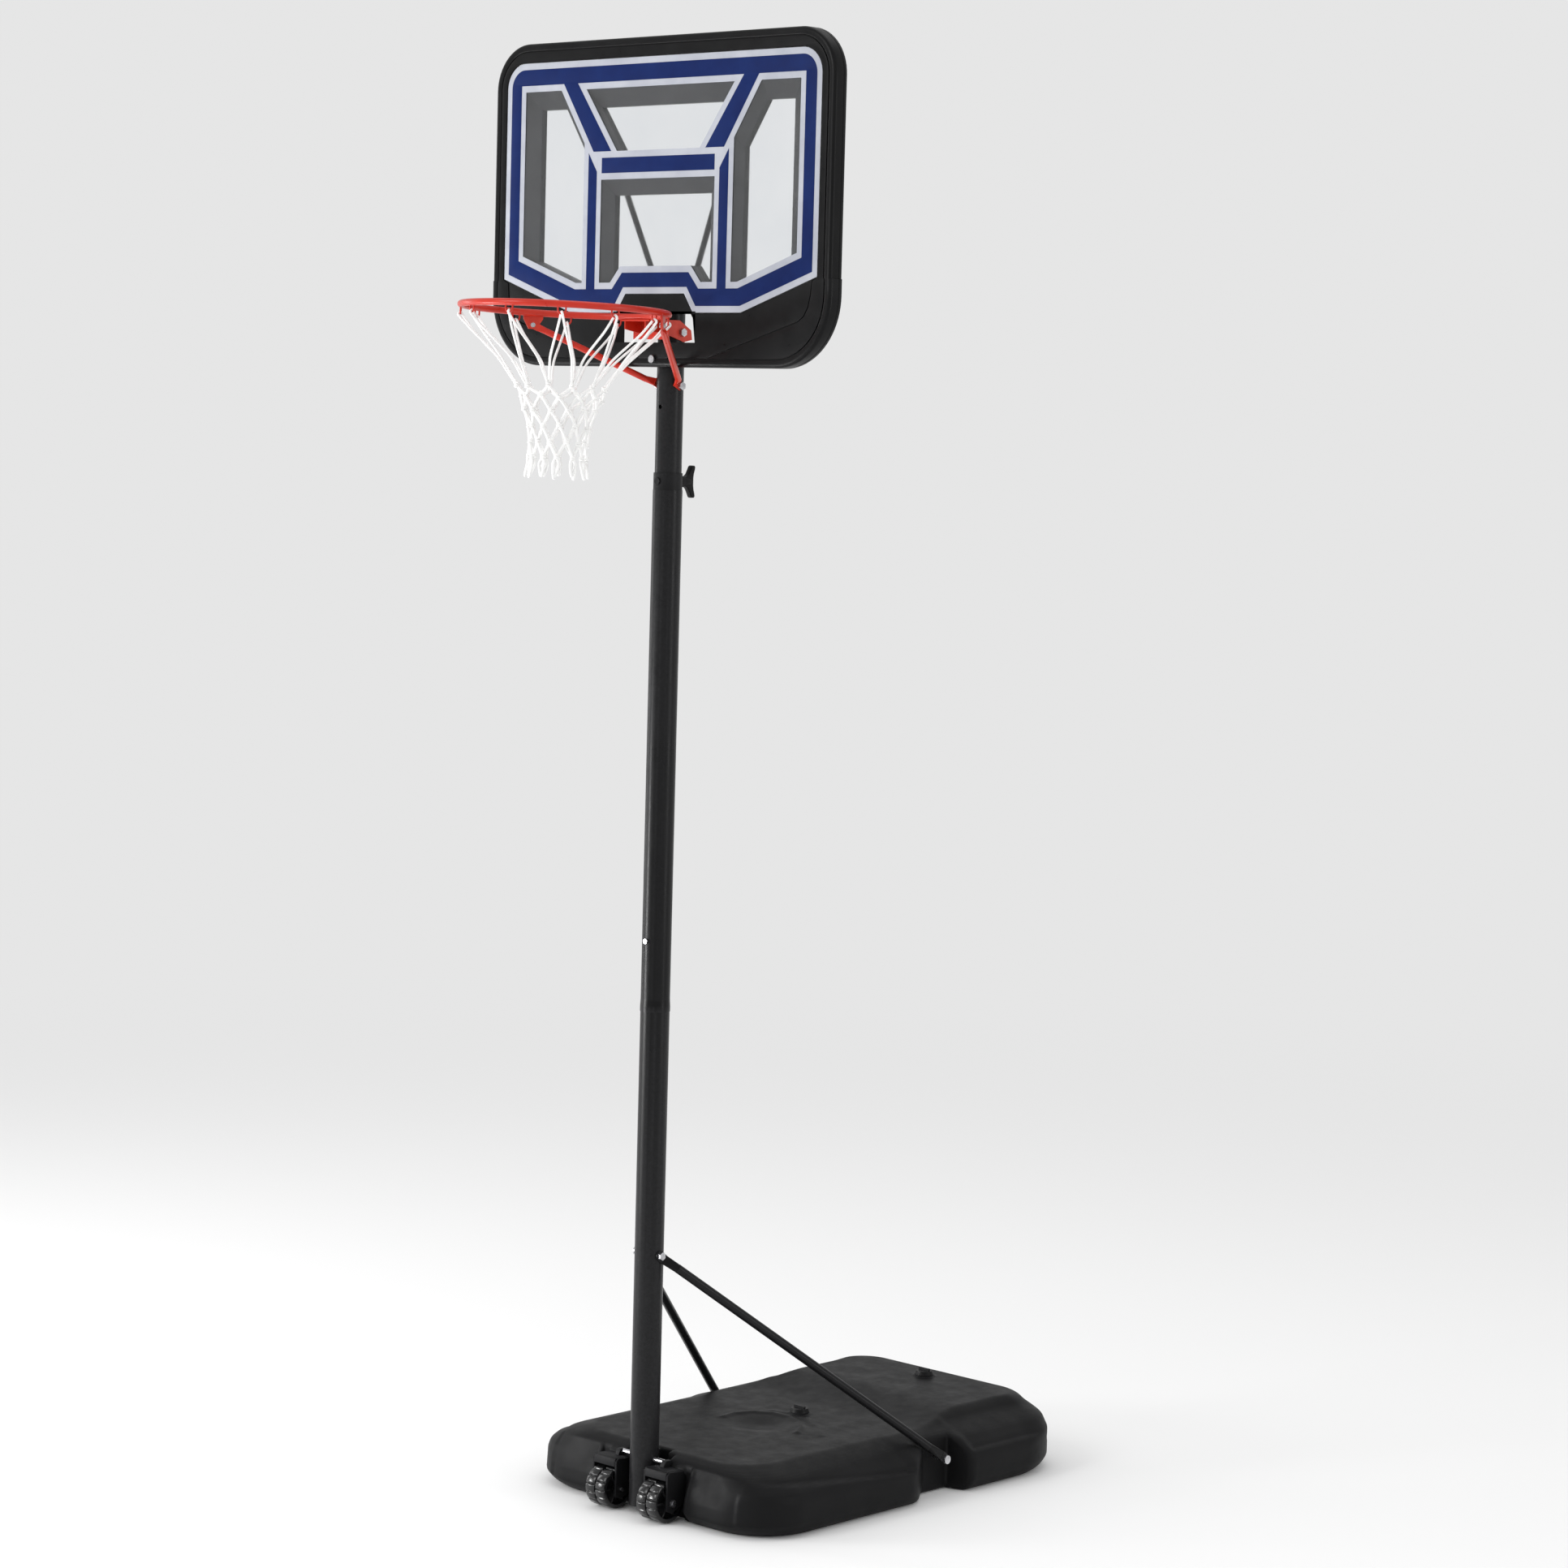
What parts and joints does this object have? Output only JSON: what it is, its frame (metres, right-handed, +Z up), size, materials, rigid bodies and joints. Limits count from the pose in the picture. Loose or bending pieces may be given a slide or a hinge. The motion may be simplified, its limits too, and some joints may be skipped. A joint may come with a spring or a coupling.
{
  "type": "portable basketball hoop",
  "caption": "Free-standing basketball hoop: water-filled wheeled base, braced telescoping pole, moulded board with clear windows, red ring and white net.",
  "frame": {"origin": "on the floor, under the centre of the whole object's box", "axes": "+Z up, -Y towards the front, where the ring is, +X to the right when facing along +Y"},
  "size_m": [1.118, 1.7344, 3.503],
  "materials": {
    "base_plastic": "satin",
    "ballast": "gloss",
    "cap_plastic": "matte",
    "wheel_plastic": "satin",
    "bare_steel": "satin",
    "pole_paint": "satin",
    "brace_paint": "satin",
    "collar_plastic": "matte",
    "knob_plastic": "matte",
    "guide_plastic": "matte",
    "frame_plastic": "satin",
    "clear_sheet": "polished",
    "print_silver": "satin",
    "print_blue": "satin",
    "rim_paint": "gloss",
    "net_cord": "matte"
  },
  "bodies": {
    "root": {"base_tank": "base_plastic", "ballast_fill": "ballast", "wheel_axle_left": "bare_steel", "wheel_axle_right": "bare_steel", "pole_base_rod": "bare_steel", "bottom_pole": "pole_paint", "middle_pole": "pole_paint", "pole_joint_screw": "bare_steel", "pole_collar": "collar_plastic", "strut_left": "pole_paint", "strut_right": "pole_paint", "strut_top_bolt": "bare_steel", "strut_base_bolts": "bare_steel"},
    "wheel_left": {"wheel_left": "wheel_plastic"},
    "wheel_right": {"wheel_right": "wheel_plastic"},
    "cap_front": {"filler_cap_front": "cap_plastic"},
    "cap_rear": {"filler_cap_rear": "cap_plastic"},
    "knob": {"height_knob": "knob_plastic", "height_screw": "bare_steel"},
    "head": {"upper_pole": "pole_paint", "lower_guide": "guide_plastic", "pole_top_cap": "collar_plastic", "board_frame": "frame_plastic", "board_sheet": "clear_sheet", "board_brace_left": "brace_paint", "board_brace_right": "brace_paint", "board_brace_bolt": "bare_steel", "board_brace_screws": "bare_steel", "board_pole_bolt": "bare_steel", "rim_ring": "rim_paint", "rim_bracket": "rim_paint", "rim_brace_left": "rim_paint", "rim_brace_right": "rim_paint", "rim_bracket_bolt": "bare_steel", "rim_brace_bolt": "bare_steel", "rim_brace_rivets": "bare_steel", "net": "net_cord"}
  },
  "joints": [
    {"name": "height_slide", "type": "slide", "parent": "root", "child": "head", "axis": [0, 0, 1], "range_m": [-0.174, 0.174]},
    {"name": "knob_turn", "type": "hinge", "parent": "root", "child": "knob", "pos_m": [0, -0.27777, 2.472], "axis": [0, 1, 0], "range_deg": [0, 720]},
    {"name": "wheel_left_spin", "type": "hinge", "parent": "root", "child": "wheel_left", "pos_m": [-0.087, -0.30777, 0.0515], "axis": [1, 0, 0], "continuous": true},
    {"name": "wheel_right_spin", "type": "hinge", "parent": "root", "child": "wheel_right", "pos_m": [0.087, -0.30777, 0.0515], "axis": [1, 0, 0], "continuous": true},
    {"name": "cap_front_lift", "type": "slide", "parent": "root", "child": "cap_front", "axis": [0, 0, 1], "range_m": [0, 0.04]},
    {"name": "cap_rear_lift", "type": "slide", "parent": "root", "child": "cap_rear", "axis": [0, 0, 1], "range_m": [0, 0.04]}
  ]
}
